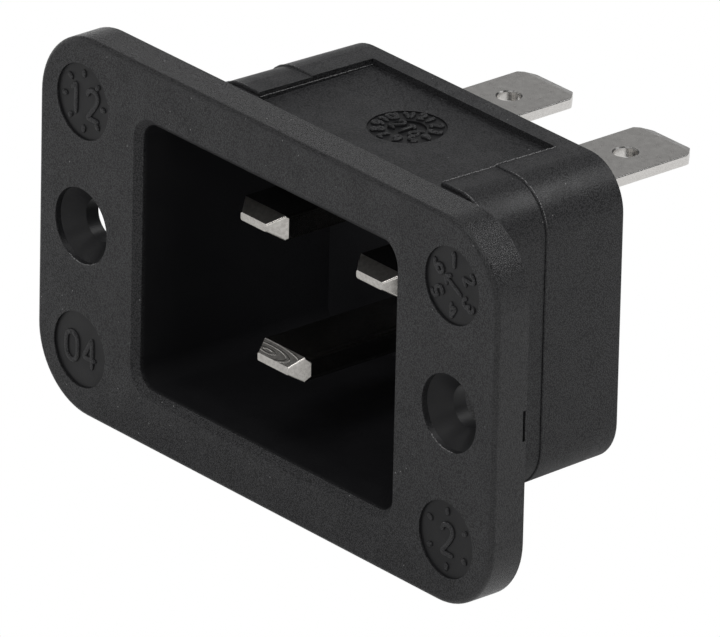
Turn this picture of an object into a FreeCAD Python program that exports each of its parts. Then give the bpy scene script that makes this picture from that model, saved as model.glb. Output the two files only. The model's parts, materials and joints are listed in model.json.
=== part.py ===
import FreeCAD, Part
import math
import os

# Panel-mounted appliance inlet for heavy-duty mains leads: a moulded housing with a screw flange,
# three flat pins standing in a deep recess, and a quick-connect terminal riveted to each pin's tail.
# Frame: origin at the middle of the flange's back face, where it meets the panel. +X right as seen
# from the front, +Y into the panel, +Z up. Millimetres.

# Recess that the mating connector slides into
RECESS_WIDTH = 28.6
RECESS_HEIGHT = 21.1
RECESS_CORNER = 1.5
RECESS_LEAD_IN = 0.52

# Body round the recess: a neck, then two drafted bands that start at the same section
SIDE_WALL = 1.7
TOP_WALL = 1.6
REAR_WALL = 2.0
BODY_DEPTH = 17.45
BODY_CORNER = 3.9
BODY_DRAFT = 1.2
BODY_REAR_EDGE = 0.1
BAND_EDGE = 0.12
NECK_INSET = 0.3
NECK_LENGTH = 4.9
FIRST_BAND_LENGTH = 5.05

# Pocket in the body's top: a ledge along its sides, and a round mould stamp in its floor
POCKET_FROM_SIDE = 5.8
POCKET_RIM = 1.7
POCKET_DEPTH = 0.65
LEDGE_DEPTH = 0.34
LEDGE_WIDTH = 0.12
STAMP_DIAMETER = 5.9
STAMP_DEPTH = 0.12
STAMP_DIAL = 2.9
STAMP_DIAL_DEPTH = 0.28
STAMP_FROM_RIM = 5.38

# Flange, with a screw hole, two sunk mark discs and the slot of a moulding gate at each end
FLANGE_THICKNESS = 3.0
FLANGE_MARGIN = 2.85
FLANGE_CORNER = 5.8
FLANGE_EDGE = 0.4
SCREW_FROM_BODY = 4.7
SCREW_FROM_END = 4.95
SCREW_HOLE = 3.3
SCREW_HEAD = 5.95
SCREW_HEAD_LIP = 0.52
SCREW_CONE_ANGLE = 90.0
MARK_DIAMETER = 5.9
MARK_DEPTH = 0.18
MARK_FROM_EDGE = 5.1
GATE_SLOT_HEIGHT = 2.4
GATE_SLOT_WIDTH = 0.24
GATE_SLOT_DEPTH = 0.6
GATE_SLOT_FROM_BACK = 0.08

# Pins: the flat shank, its tapered tip, a collar in the recess floor and a riveted tail
PIN_PITCH = 13.0
PIN_ROW_HEIGHT = 4.1
EARTH_DROP = 8.0
PIN_WIDTH = 5.0
PIN_THICKNESS = 2.0
PIN_TAPER = 1.1
TIP_HEIGHT = 0.62
POWER_TIP_BEHIND_FACE = 4.5
POWER_SIDE_TAPER = 1.25
POWER_TIP_WIDTH = 2.9
POWER_TIP_EDGE = 0.18
POWER_PIN_EDGE = 0.3
EARTH_TIP_BEHIND_FACE = 1.1
EARTH_SIDE_TAPER = 1.5
EARTH_TIP_WIDTH = 3.45
EARTH_TIP_EDGE = 0.12
EARTH_PIN_EDGE = 0.5
COLLAR_MARGIN = 0.7
COLLAR_THICKNESS = 0.8
TAIL_WIDTH = 3.2
TAIL_HEIGHT = 1.5
HEAD_MARGIN = 0.5
HEAD_HEIGHT = 0.7
HEAD_CORNER = 0.6
HEAD_TOP_CORNER = 0.3
FIT_CLEARANCE = 0.05

# Terminals: a quick-connect blade on an angle foot
TAB_WIDTH = 6.3
TAB_THICKNESS = 0.8
TAB_RISE = 3.6
TAB_BEND = 0.6
TAB_EDGE = 0.1
TAB_CORNER = 1.1
TAB_CORNER_EASE = 0.5
TAB_BEVEL_LENGTH = 0.65
TAB_BEVEL_DEPTH = 0.18
TAB_HOLE = 1.8
TAB_HOLE_LIP = 0.1
TAB_HOLE_FROM_END = 4.45
POWER_TAB_REACH = 12.8
EARTH_TAB_REACH = 9.4
FOOT_BELOW_PIN = 2.1
FOOT_CORNER = 0.8

# Length by which a cutter runs past the face it opens, the distance at which two places are one, and
# how far the middle of a quarter round is set in from its corner, as a share of the radius
CUT_OVERRUN = 1.0
SAME_PLACE = 1e-4
EASE = 1 - math.sqrt(0.5)

face_y = -FLANGE_THICKNESS
rear_y = BODY_DEPTH
recess_floor_y = rear_y - REAR_WALL
body_width = RECESS_WIDTH + 2 * SIDE_WALL
body_height = RECESS_HEIGHT + 2 * TOP_WALL
pocket_floor_z = body_height / 2 - POCKET_DEPTH
second_band_y = NECK_LENGTH + FIRST_BAND_LENGTH
draft_slope = math.tan(math.radians(BODY_DRAFT))
pocket_rear_y = rear_y - POCKET_RIM
screw_x = body_width / 2 + SCREW_FROM_BODY
flange_width = 2 * (screw_x + SCREW_FROM_END)
flange_height = body_height + 2 * FLANGE_MARGIN
blade_root_y = rear_y + TAB_BEND + TAB_THICKNESS
along_y = FreeCAD.Vector(0, 1, 0)
along_z = FreeCAD.Vector(0, 0, 1)


def point(x, y, z):
    """A point of the part's frame."""
    return FreeCAD.Vector(x, y, z)


def rounded_rectangle(width, height, radius, y, x=0.0, z=0.0):
    """Closed outline in the plane at y, centred on x and z, with round corners."""
    to_arc_middle = radius * EASE
    edges = []
    last = None
    for side_x, side_z in ((1, 1), (1, -1), (-1, -1), (-1, 1)):
        corner_x, corner_z = x + side_x * width / 2, z + side_z * height / 2
        on_top = point(corner_x - side_x * radius, y, corner_z)
        on_arc = point(corner_x - side_x * to_arc_middle, y, corner_z - side_z * to_arc_middle)
        on_side = point(corner_x, y, corner_z - side_z * radius)
        start, end = (on_top, on_side) if side_x == side_z else (on_side, on_top)
        if last is not None:
            edges.append(Part.makeLine(last, start))
        edges.append(Part.Arc(start, on_arc, end).toShape())
        last = end
    edges.append(Part.makeLine(last, edges[0].Vertexes[0].Point))
    return Part.Wire(edges)


def polygon_prism(corners, along):
    """Solid that carries a closed polygon along a vector."""
    return Part.Face(Part.makePolygon(corners + corners[:1])).extrude(along)


def prism(outline, length):
    """Solid that carries a closed outline along +Y."""
    return Part.Face(outline).extrude(along_y * length)


def block(width, height, start_y, end_y, x, z):
    """Box centred on x and z, from start_y to end_y."""
    return Part.makeBox(width, end_y - start_y, height, point(x - width / 2, start_y, z - height / 2))


def disc(diameter, start, direction, length):
    """Cylinder from a start point along a direction."""
    return Part.makeCylinder(diameter / 2, length, start, direction)


def edges_in_plane(shape, y, within_x):
    """Edges that lie in the plane at y and inside |x| <= within_x."""
    found = []
    for edge in shape.Edges:
        box = edge.BoundBox
        in_plane = abs(box.YMin - y) < SAME_PLACE and abs(box.YMax - y) < SAME_PLACE
        if in_plane and max(abs(box.XMin), abs(box.XMax)) < within_x + SAME_PLACE:
            found.append(edge)
    return found


def edges_on_lines(shape, lines):
    """Edges whose middles lie on one of the lines."""
    found = []
    for edge in shape.Edges:
        middle = Part.Vertex(edge.valueAt((edge.FirstParameter + edge.LastParameter) / 2))
        if min(line.distToShape(middle)[0] for line in lines) < SAME_PLACE:
            found.append(edge)
    return found


def flange_plate():
    """Flange's plain plate with its front edge rounded."""
    plate = prism(rounded_rectangle(flange_width, flange_height, FLANGE_CORNER, face_y), FLANGE_THICKNESS)
    return plate.makeFillet(FLANGE_EDGE, edges_in_plane(plate, face_y, flange_width / 2))


def body_section(y, inset):
    """Outline of the body in the plane at y, drawn in all round by an inset."""
    return rounded_rectangle(body_width - 2 * inset, body_height - 2 * inset, BODY_CORNER - inset, y)


def drafted_band(start_y, end_y, rear_edge):
    """Length of the body with eased edges: full section at its front, drawing in towards the rear."""
    drawn_in = draft_slope * (end_y - start_y)
    stations = [
        (start_y, BAND_EDGE),
        (start_y + EASE * BAND_EDGE, EASE * BAND_EDGE),
        (start_y + BAND_EDGE, 0),
        (end_y - rear_edge, drawn_in),
    ]
    if rear_edge:
        stations += [(end_y - EASE * rear_edge, drawn_in + EASE * rear_edge), (end_y, drawn_in + rear_edge)]
    return Part.makeLoft([body_section(y, inset) for y, inset in stations], True, True)


def body_lengths():
    """Neck and two bands; only the last band's rear edge is open to be eased."""
    return [
        prism(body_section(0, NECK_INSET), NECK_LENGTH),
        drafted_band(NECK_LENGTH, second_band_y, 0),
        drafted_band(second_band_y, rear_y, BODY_REAR_EDGE),
    ]


def screw_cutter(x):
    """Countersunk screw hole through the flange: a short straight lip, a cone, then the shank hole."""
    head, shank = SCREW_HEAD / 2, SCREW_HOLE / 2
    cone_start = face_y + SCREW_HEAD_LIP
    cone_end = cone_start + (head - shank) / math.tan(math.radians(SCREW_CONE_ANGLE / 2))
    front, back = face_y - CUT_OVERRUN, CUT_OVERRUN
    profile = [(0, front), (head, front), (head, cone_start), (shank, cone_end), (shank, back), (0, back)]
    corners = [point(x + radius, y, 0) for radius, y in profile]
    return Part.Face(Part.makePolygon(corners + corners[:1])).revolve(point(x, 0, 0), along_y, 360)


def flange_cutters():
    """What is taken out of the flange on each side of the recess."""
    slot_length = GATE_SLOT_DEPTH + CUT_OVERRUN
    slot_x = flange_width / 2 + CUT_OVERRUN - slot_length / 2
    slot_end_y = -GATE_SLOT_FROM_BACK
    slot_start_y = slot_end_y - GATE_SLOT_WIDTH
    mark_height = flange_height / 2 - MARK_FROM_EDGE
    cutters = []
    for side in (-1, 1):
        x = side * screw_x
        cutters.append(screw_cutter(x))
        cutters.append(block(slot_length, GATE_SLOT_HEIGHT, slot_start_y, slot_end_y, side * slot_x, 0))
        for z in (-mark_height, mark_height):
            start = point(x, face_y - CUT_OVERRUN, z)
            cutters.append(disc(MARK_DIAMETER, start, along_y, CUT_OVERRUN + MARK_DEPTH))
    return cutters


def pocket_cutters():
    """Shallow pocket in the top: a wide cut down to two ledges that fall with the draft, then the floor."""
    half_width = body_width / 2 - POCKET_FROM_SIDE
    above = body_height / 2 + CUT_OVERRUN
    ledge_front = body_height / 2 - LEDGE_DEPTH
    ledge_rear = ledge_front - draft_slope * (pocket_rear_y - NECK_LENGTH)
    corners = [
        point(-half_width, NECK_LENGTH, ledge_front),
        point(-half_width, pocket_rear_y, ledge_rear),
        point(-half_width, pocket_rear_y, above),
        point(-half_width, NECK_LENGTH, above),
    ]
    floor_width = 2 * (half_width - LEDGE_WIDTH)
    floor_height = above - pocket_floor_z
    return [
        polygon_prism(corners, point(2 * half_width, 0, 0)),
        block(floor_width, floor_height, 0, pocket_rear_y, 0, pocket_floor_z + floor_height / 2),
    ]


def stamp_cutters():
    """Round mould stamp in the pocket's floor: a sunk ring with a deeper dial in its middle."""
    y = pocket_rear_y - STAMP_FROM_RIM
    return [
        disc(diameter, point(0, y, pocket_floor_z - depth), along_z, depth + CUT_OVERRUN)
        for diameter, depth in ((STAMP_DIAMETER, STAMP_DEPTH), (STAMP_DIAL, STAMP_DIAL_DEPTH))
    ]


def tail_slot(start_y, end_y, x, z):
    """Slot that a pin's tail passes through."""
    return block(TAIL_WIDTH + 2 * FIT_CLEARANCE, TAIL_HEIGHT + 2 * FIT_CLEARANCE, start_y, end_y, x, z)


def pin_seat_cutters(x, z):
    """Seat in the rear wall for a pin: a rebate for its collar and a slot for its tail."""
    grow = 2 * (COLLAR_MARGIN + FIT_CLEARANCE)
    collar_end_y = recess_floor_y + COLLAR_THICKNESS
    return [
        block(PIN_WIDTH + grow, PIN_THICKNESS + grow, recess_floor_y - CUT_OVERRUN, collar_end_y, x, z),
        tail_slot(recess_floor_y, rear_y + CUT_OVERRUN, x, z),
    ]


def pin_places():
    """Name, x, z and terminal direction of each pin."""
    return [
        ("line", PIN_PITCH / 2, PIN_ROW_HEIGHT, 1),
        ("neutral", -PIN_PITCH / 2, PIN_ROW_HEIGHT, 1),
        ("earth", 0.0, PIN_ROW_HEIGHT - EARTH_DROP, -1),
    ]


def make_housing():
    """The moulding: flange and body in one, hollowed from the front."""
    solid = flange_plate().multiFuse(body_lengths()).removeSplitter()
    recess_outline = rounded_rectangle(RECESS_WIDTH, RECESS_HEIGHT, RECESS_CORNER, face_y - CUT_OVERRUN)
    solid = solid.cut(prism(recess_outline, recess_floor_y - face_y + CUT_OVERRUN))
    solid = solid.makeChamfer(RECESS_LEAD_IN, edges_in_plane(solid, face_y, RECESS_WIDTH / 2))
    cutters = flange_cutters() + pocket_cutters() + stamp_cutters()
    for _, x, z, _ in pin_places():
        cutters += pin_seat_cutters(x, z)
    return solid.cut(cutters).removeSplitter()


def rivet_head(x, z):
    """Peened head that holds a terminal's foot to the rear wall."""
    base_y = rear_y + TAB_THICKNESS
    grow = 2 * HEAD_MARGIN
    base = rounded_rectangle(TAIL_WIDTH + grow, TAIL_HEIGHT + grow, HEAD_CORNER, base_y, x, z)
    top = rounded_rectangle(TAIL_WIDTH, TAIL_HEIGHT, HEAD_TOP_CORNER, base_y + HEAD_HEIGHT, x, z)
    return Part.makeLoft([base, top], True, True)


def make_pin(x, z, tip_y, side_taper, tip_width, tip_edge, edge):
    """Flat pin, its narrow sides tapered further back than its faces, with a collar and a riveted tail."""
    shoulder_y = tip_y + side_taper
    collar_end_y = recess_floor_y + COLLAR_THICKNESS
    width_at_taper = tip_width + (PIN_WIDTH - tip_width) * PIN_TAPER / side_taper
    tip = rounded_rectangle(tip_width, TIP_HEIGHT, tip_edge, tip_y, x, z)
    taper = rounded_rectangle(width_at_taper, PIN_THICKNESS, tip_edge, tip_y + PIN_TAPER, x, z)
    shank = rounded_rectangle(PIN_WIDTH, PIN_THICKNESS, edge, shoulder_y, x, z)
    grow = 2 * COLLAR_MARGIN
    lengths = [
        prism(shank, recess_floor_y - shoulder_y),
        block(PIN_WIDTH + grow, PIN_THICKNESS + grow, recess_floor_y, collar_end_y, x, z),
        block(TAIL_WIDTH, TAIL_HEIGHT, collar_end_y, rear_y + TAB_THICKNESS, x, z),
        rivet_head(x, z),
    ]
    return Part.makeLoft([tip, taper, shank], True, True).multiFuse(lengths).removeSplitter()


def angle_line(x, z, direction, reach, depth):
    """Line of a terminal at a depth below its outer skin: up the foot, round the bend, along the blade."""
    radius = TAB_BEND + TAB_THICKNESS - depth
    bend_rise = TAB_RISE - TAB_BEND - TAB_THICKNESS
    to_middle = radius * math.sqrt(0.5)
    stations = [
        (rear_y + depth, -FOOT_BELOW_PIN),
        (rear_y + depth, bend_rise),
        (blade_root_y - to_middle, bend_rise + to_middle),
        (blade_root_y, TAB_RISE - depth),
        (rear_y + reach, TAB_RISE - depth),
    ]
    foot, bend_start, bend_middle, bend_end, tip = [point(x, y, z + direction * rise) for y, rise in stations]
    return Part.Wire([
        Part.makeLine(foot, bend_start),
        Part.Arc(bend_start, bend_middle, bend_end).toShape(),
        Part.makeLine(bend_end, tip),
    ])


def angle_strip(x, z, direction, reach):
    """Bent strip of full width, its edges rolled over on the outer skin as the punch leaves them."""
    sides = (x - TAB_WIDTH / 2, x + TAB_WIDTH / 2)
    skins = [angle_line(side, z, direction, reach, 0) for side in sides]
    inner = angle_line(sides[0], z, direction, reach, TAB_THICKNESS)
    ends = [
        Part.makeLine(skins[0].OrderedVertexes[end].Point, inner.OrderedVertexes[end].Point)
        for end in (0, -1)
    ]
    outline = Part.Wire(Part.sortEdges(skins[0].Edges + inner.Edges + ends)[0])
    strip = Part.Face(outline).extrude(point(TAB_WIDTH, 0, 0))
    return strip.makeFillet(TAB_EDGE, edges_on_lines(strip, skins))


def tip_bevel_cutter(x, blade_face, end_y, inward):
    """Wedge across the blade's end that thins one of its faces; inward is the way into the blade."""
    start = x - TAB_WIDTH / 2
    corners = [
        point(start, end_y, blade_face),
        point(start, end_y - TAB_BEVEL_LENGTH, blade_face),
        point(start, end_y, blade_face + inward * TAB_BEVEL_DEPTH),
    ]
    return polygon_prism(corners, point(TAB_WIDTH, 0, 0))


def terminal_blank(x, z, end_y):
    """Upright block that a terminal is trimmed to, with the blade's end corners cut off and eased."""
    half, front_y = TAB_WIDTH / 2, rear_y - CUT_OVERRUN
    outline = [
        (-half, front_y),
        (-half, end_y - TAB_CORNER),
        (TAB_CORNER - half, end_y),
        (half - TAB_CORNER, end_y),
        (half, end_y - TAB_CORNER),
        (half, front_y),
    ]
    reach_z = TAB_RISE + CUT_OVERRUN
    corners = [point(x + across, y, z - reach_z) for across, y in outline]
    upright = along_z * (2 * reach_z)
    blank = polygon_prism(corners, upright)
    eased = [Part.makeLine(corner, corner + upright) for corner in corners[1:-1]]
    return blank.makeFillet(TAB_CORNER_EASE, edges_on_lines(blank, eased))


def hole_lip_cutter(x, y, skin_z, inward):
    """Cone that eases a blade's hole where the punch entered; inward is the way into the blade."""
    radius, length = TAB_HOLE / 2, 2 * TAB_HOLE_LIP
    start = point(x, y, skin_z - inward * TAB_HOLE_LIP)
    return Part.makeCone(radius + length, radius, length, start, along_z * inward)


def make_terminal(x, z, direction, reach):
    """Quick-connect terminal: a stamped angle with a slot for the pin's tail and a holed blade."""
    end_y = rear_y + reach
    foot_z = z - direction * FOOT_BELOW_PIN
    blade_z = z + direction * (TAB_RISE - TAB_THICKNESS / 2)
    below = blade_z - TAB_THICKNESS / 2 - CUT_OVERRUN
    through = TAB_THICKNESS + 2 * CUT_OVERRUN
    hole_y = end_y - TAB_HOLE_FROM_END
    cutters = [
        disc(TAB_HOLE, point(x, hole_y, below), along_z, through),
        hole_lip_cutter(x, hole_y, z + direction * TAB_RISE, -direction),
        tail_slot(rear_y - CUT_OVERRUN, rear_y + TAB_THICKNESS + CUT_OVERRUN, x, z),
    ]
    for side in (-1, 1):
        edge_x = x + side * TAB_WIDTH / 2
        foot_corner = [
            point(edge_x, rear_y - CUT_OVERRUN, foot_z),
            point(edge_x - side * FOOT_CORNER, rear_y - CUT_OVERRUN, foot_z),
            point(edge_x, rear_y - CUT_OVERRUN, foot_z + direction * FOOT_CORNER),
        ]
        cutters.append(polygon_prism(foot_corner, along_y * through))
        cutters.append(tip_bevel_cutter(x, blade_z + side * TAB_THICKNESS / 2, end_y, -side))
    trimmed = angle_strip(x, z, direction, reach).common(terminal_blank(x, z, end_y))
    return trimmed.cut(cutters).removeSplitter()


def export(name, shape):
    """Write one sub-part, after a check that it is a single sound solid."""
    if not shape.isValid() or len(shape.Solids) != 1:
        raise ValueError(f"{name} is not one valid solid")
    shape.Solids[0].exportStep(f"parts/{name}.step")
    print(name, round(shape.Volume, 2), "mm3")


os.makedirs("parts", exist_ok=True)
export("housing", make_housing())
for pin_name, pin_x, pin_z, tab_direction in pin_places():
    if pin_name == "earth":
        tip_y, tab_reach = face_y + EARTH_TIP_BEHIND_FACE, EARTH_TAB_REACH
        tip_form = (EARTH_SIDE_TAPER, EARTH_TIP_WIDTH, EARTH_TIP_EDGE, EARTH_PIN_EDGE)
    else:
        tip_y, tab_reach = face_y + POWER_TIP_BEHIND_FACE, POWER_TAB_REACH
        tip_form = (POWER_SIDE_TAPER, POWER_TIP_WIDTH, POWER_TIP_EDGE, POWER_PIN_EDGE)
    export(f"{pin_name}_pin", make_pin(pin_x, pin_z, tip_y, *tip_form))
    export(f"{pin_name}_terminal", make_terminal(pin_x, pin_z, tab_direction, tab_reach))
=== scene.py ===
"""Looks of a panel-mounted mains power inlet.

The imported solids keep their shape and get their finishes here: spark-eroded black plastic on the
housing, bright nickel on the pins and satin nickel on the terminals. Small moulded pieces are added
to the housing: raised dials in its sunk discs, flash along a few edges, and burr on the lips of the
screw holes. A pale cove, soft lamps and a long-lens camera complete the picture.
"""

import json
import logging
import math
from dataclasses import dataclass
from enum import Enum
from functools import reduce
from typing import Any

import bpy
import numpy as np
from mathutils import Matrix, Vector


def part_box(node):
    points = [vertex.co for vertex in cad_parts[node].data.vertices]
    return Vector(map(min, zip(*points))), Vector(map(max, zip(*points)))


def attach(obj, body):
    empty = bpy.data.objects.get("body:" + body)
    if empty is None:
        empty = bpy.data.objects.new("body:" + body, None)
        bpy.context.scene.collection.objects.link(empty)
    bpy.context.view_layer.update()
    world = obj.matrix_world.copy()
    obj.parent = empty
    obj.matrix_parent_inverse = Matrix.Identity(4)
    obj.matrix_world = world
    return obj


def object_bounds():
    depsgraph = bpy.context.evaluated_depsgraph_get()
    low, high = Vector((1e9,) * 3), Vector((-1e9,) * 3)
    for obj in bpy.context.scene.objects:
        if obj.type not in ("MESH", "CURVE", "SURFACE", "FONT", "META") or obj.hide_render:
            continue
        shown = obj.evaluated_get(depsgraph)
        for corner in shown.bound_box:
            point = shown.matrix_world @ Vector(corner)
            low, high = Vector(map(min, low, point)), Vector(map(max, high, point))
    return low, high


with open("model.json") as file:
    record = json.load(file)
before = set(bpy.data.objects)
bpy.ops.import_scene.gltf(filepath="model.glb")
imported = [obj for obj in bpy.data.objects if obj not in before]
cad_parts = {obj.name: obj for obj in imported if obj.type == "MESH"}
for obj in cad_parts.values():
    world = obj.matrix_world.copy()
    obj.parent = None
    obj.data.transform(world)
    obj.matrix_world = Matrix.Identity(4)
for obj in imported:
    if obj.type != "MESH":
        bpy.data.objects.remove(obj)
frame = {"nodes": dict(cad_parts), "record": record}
CAD_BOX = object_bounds()

LOG = logging.getLogger("power_inlet")
MM = 0.001
IMAGE_WIDTH_PX = 720
BODY = "root"
BEAD_FULLNESS = 0.6
FLASH_SIDES = 6

Colour = tuple[float, float, float, float]
Triple = tuple[float, float, float]
Span = tuple[float, float]
Socket = bpy.types.NodeSocket
Sockets = bpy.types.bpy_prop_collection

WHITE: Colour = (1.0, 1.0, 1.0, 1.0)
UP: Triple = (0, 0, 1)
FORWARD: Triple = (0, -1, 0)
RISING: Span = (0.0, 1.0)
FALLING: Span = (1.0, 0.0)


class Slot(Enum):
    """Material slots of the record."""

    HOUSING = "housing_plastic"
    PIN = "pin_nickel"
    TERMINAL = "terminal_nickel"


class Effect(Enum):
    """Node groups that the materials share."""

    GRAIN = "grain"
    SPECKS = "specks"
    MOTTLE = "mottle"


class ShaderGraph:
    """Short calls for adding and joining the nodes of one tree."""

    def __init__(self, tree: bpy.types.NodeTree) -> None:
        """Keep the tree that the calls work on."""
        self.tree = tree

    def add(self, kind: str, inputs: dict[str | int, Any] | None = None, **settings: Any
            ) -> bpy.types.Node:
        """Add a node.

        Args:
            kind: Blender's name for the node.
            inputs: socket name or number to a value, or to the socket that feeds it.
            settings: the node's own properties, set before its inputs.

        Returns:
            The new node.
        """
        node = self.tree.nodes.new(kind)
        for name, value in settings.items():
            setattr(node, name, value)
        for key, value in (inputs or {}).items():
            if isinstance(value, Socket):
                self.tree.links.new(value, node.inputs[key])
            else:
                node.inputs[key].default_value = value
        return node

    def math(self, operation: str, first: Any, second: Any = 0.0) -> Socket:
        """Result of one sum on two values or sockets."""
        return self.add("ShaderNodeMath", {0: first, 1: second}, operation=operation).outputs[0]

    def total(self, *values: Any) -> Socket:
        """Sum of several values or sockets."""
        return reduce(lambda first, second: self.math("ADD", first, second), values)

    def product(self, *values: Any) -> Socket:
        """Product of several values or sockets."""
        return reduce(lambda first, second: self.math("MULTIPLY", first, second), values)

    def highest(self, *values: Any) -> Socket:
        """Greatest of several values or sockets."""
        return reduce(lambda first, second: self.math("MAXIMUM", first, second), values)

    def vector(self, operation: str, first: Any, second: Any = (0, 0, 0)) -> Socket:
        """Result of one sum on two vectors or sockets."""
        return self.add("ShaderNodeVectorMath", {0: first, 1: second}, operation=operation).outputs[0]

    def scaled(self, vector: Any, factor: Any) -> Socket:
        """A vector times a factor."""
        inputs = {0: vector, "Scale": factor}
        return self.add("ShaderNodeVectorMath", inputs, operation="SCALE").outputs[0]

    def in_units(self, vector: Any, size: Any) -> Socket:
        """A vector measured in units of a size."""
        return self.scaled(vector, self.math("DIVIDE", 1.0, size))

    def length(self, vector: Any) -> Socket:
        """Length of a vector."""
        return self.add("ShaderNodeVectorMath", {0: vector}, operation="LENGTH").outputs["Value"]

    def parts(self, vector: Any) -> Sockets:
        """The parts X, Y and Z of a vector."""
        return self.add("ShaderNodeSeparateXYZ", {0: vector}).outputs

    def step(self, value: Any, span: Span, ends: Span = RISING) -> Socket:
        """Smooth step from the first end to the second as a value crosses a span."""
        inputs = dict(zip(("From Min", "From Max", "To Min", "To Max"), (*span, *ends)), Value=value)
        return self.add("ShaderNodeMapRange", inputs, interpolation_type="SMOOTHSTEP").outputs[0]

    def mix(self, factor: Any, first: Any, second: Any) -> Socket:
        """Value between two values."""
        return self.add("ShaderNodeMix", {0: factor, 2: first, 3: second}).outputs[0]

    def blend(self, factor: Any, first: Any, second: Any) -> Socket:
        """Colour between two colours."""
        return self.add("ShaderNodeMix", {0: factor, 6: first, 7: second}, data_type="RGBA").outputs[2]

    def noise(self, place: Any, scale: float, detail: float, roughness: float = 0.5) -> Socket:
        """Cloudy noise from 0 to 1."""
        inputs = {"Vector": place, "Scale": scale, "Detail": detail, "Roughness": roughness}
        return self.add("ShaderNodeTexNoise", inputs).outputs["Fac"]

    def cells(self, place: Any) -> Sockets:
        """Cells about one unit apart, with each place's distance to its cell's middle."""
        return self.add("ShaderNodeTexVoronoi", {"Vector": place, "Scale": 1.0}).outputs

    def bump(self, height: Socket, depth_mm: float) -> Socket:
        """Normal of a surface whose relief is a height times a depth."""
        inputs = {"Strength": 1.0, "Distance": depth_mm * MM, "Height": height}
        return self.add("ShaderNodeBump", inputs).outputs["Normal"]

    def surface(self, kind: str, inputs: dict[str | int, Any]) -> None:
        """Add a shader and make it the material's surface."""
        shader = self.add(kind, inputs)
        self.add("ShaderNodeOutputMaterial", {"Surface": shader.outputs[0]})


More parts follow.
